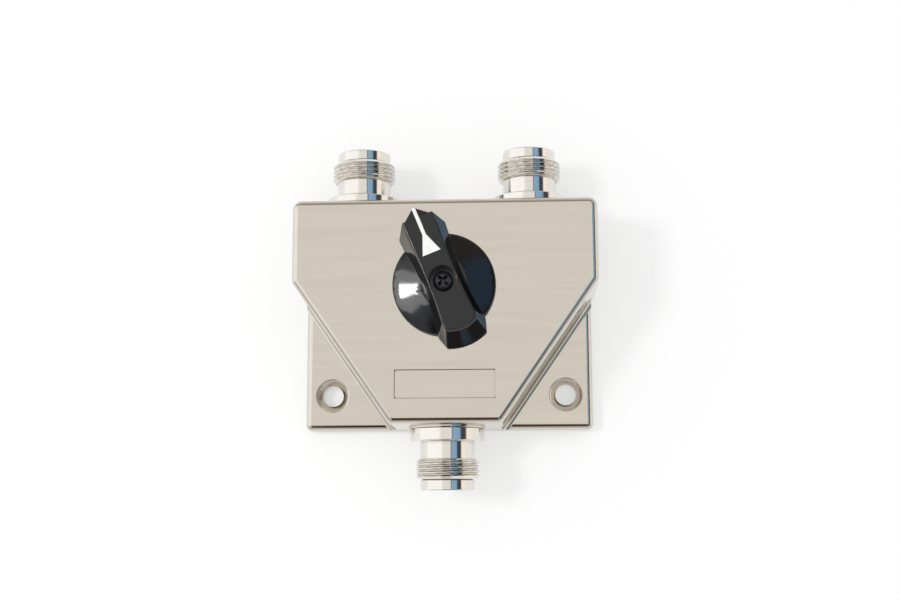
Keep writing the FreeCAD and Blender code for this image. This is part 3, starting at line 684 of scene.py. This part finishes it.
def screws_tree(material):
    """Puts the master screw at every point of a mesh, each turned by its own random angle."""
    tree = bpy.data.node_groups.new("cover_screws", "GeometryNodeTree")
    face = tree.interface
    face.new_socket("Geometry", in_out="INPUT", socket_type="NodeSocketGeometry")
    screw = face.new_socket("Screw", in_out="INPUT", socket_type="NodeSocketObject")
    seed = face.new_socket("Seed", in_out="INPUT", socket_type="NodeSocketInt")
    face.new_socket("Geometry", in_out="OUTPUT", socket_type="NodeSocketGeometry")
    given = new_node(tree, "NodeGroupInput")
    info = new_node(tree, "GeometryNodeObjectInfo")
    turns = new_node(tree, "FunctionNodeRandomValue", data_type="FLOAT")
    spin = new_node(tree, "ShaderNodeCombineXYZ")
    points = new_node(tree, "GeometryNodeMeshToPoints")
    copies = new_node(tree, "GeometryNodeInstanceOnPoints")
    real = new_node(tree, "GeometryNodeRealizeInstances")
    paint = new_node(tree, "GeometryNodeSetMaterial")
    result = new_node(tree, "NodeGroupOutput")
    least, largest = [socket for socket in turns.inputs if socket.enabled][:2]
    least.default_value = 0.0
    largest.default_value = LARGEST_TURN
    paint.inputs["Material"].default_value = material
    link(tree, given.outputs["Seed"], turns.inputs["Seed"])
    link(tree, next(socket for socket in turns.outputs if socket.enabled), spin.inputs["Z"])
    link(tree, given.outputs["Screw"], info.inputs["Object"])
    link(tree, given.outputs["Geometry"], points.inputs["Mesh"])
    link(tree, points.outputs[0], copies.inputs["Points"])
    link(tree, info.outputs["Geometry"], copies.inputs["Instance"])
    link(tree, spin.outputs[0], copies.inputs["Rotation"])
    link(tree, copies.outputs[0], real.inputs[0])
    link(tree, real.outputs[0], paint.inputs["Geometry"])
    link(tree, paint.outputs[0], result.inputs[0])
    return tree, screw.identifier, seed.identifier


places_mesh = bpy.data.meshes.new("cover_cross_screws")
places_mesh.from_pydata([(x * MM, y * MM, 0.0) for x, y in SCREW_PLACES], [], [])
cover_screws = bpy.data.objects.new("cover_cross_screws", places_mesh)
bpy.context.scene.collection.objects.link(cover_screws)
group, screw_input, seed_input = screws_tree(screw_steel)
repeat = cover_screws.modifiers.new("screws", "NODES")
repeat.node_group = group
repeat[screw_input] = master
repeat[seed_input] = SCREW_SEED
apply_modifiers(cover_screws)
bpy.data.objects.remove(master)
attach(cover_screws, "case")
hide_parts("back_cover_screws")

# Inner works
# Bearing, shaft, rotor and detent, seen only when the case is open: bare brass, spring bronze, silvered
# strip, spring steel and white nylon.
METAL_FINISHES = [
    ("shaft_brass", (0.80, 0.62, 0.30), (0.72, 0.54, 0.25), (0.22, 0.34), 300),
    ("bush_brass", (0.78, 0.60, 0.30), (0.70, 0.52, 0.25), (0.26, 0.38), 300),
    ("wheel_brass", (0.76, 0.58, 0.28), (0.66, 0.49, 0.23), (0.28, 0.42), 250),
    ("spring_bronze", (0.72, 0.45, 0.26), (0.62, 0.38, 0.21), (0.24, 0.36), 250),
    ("strip_silver", (0.88, 0.87, 0.83), (0.78, 0.77, 0.72), (0.18, 0.32), 250),
    ("clip_steel", (0.30, 0.29, 0.29), (0.22, 0.21, 0.21), (0.30, 0.44), 300),
]
FINISHED_NODES = {
    "shaft_brass": ["shaft", "blade_rivets"],
    "bush_brass": ["shaft_bush"],
    "wheel_brass": ["detent_wheel"],
    "spring_bronze": ["detent_spring", "ground_fork"],
    "strip_silver": ["signal_blade", "common_strip", "output_1_strip", "output_2_strip"],
    "clip_steel": ["stop_pin", "shaft_retaining_ring", "rotor_clip"],
}
for name, light, dark, roughness, patch in METAL_FINISHES:
    metal = finish_material(name, light, dark, roughness, patch=patch)
    for node in FINISHED_NODES[name]:
        repainted(node, metal)
hub_nylon = finish_material(
    "hub_nylon", (0.80, 0.78, 0.70), (0.74, 0.72, 0.63), (0.40, 0.52), metallic=0.0, patch=200, bump=4e-6)
repainted("rotor_hub", hub_nylon)
repainted("detent_spring_screw", screw_steel)
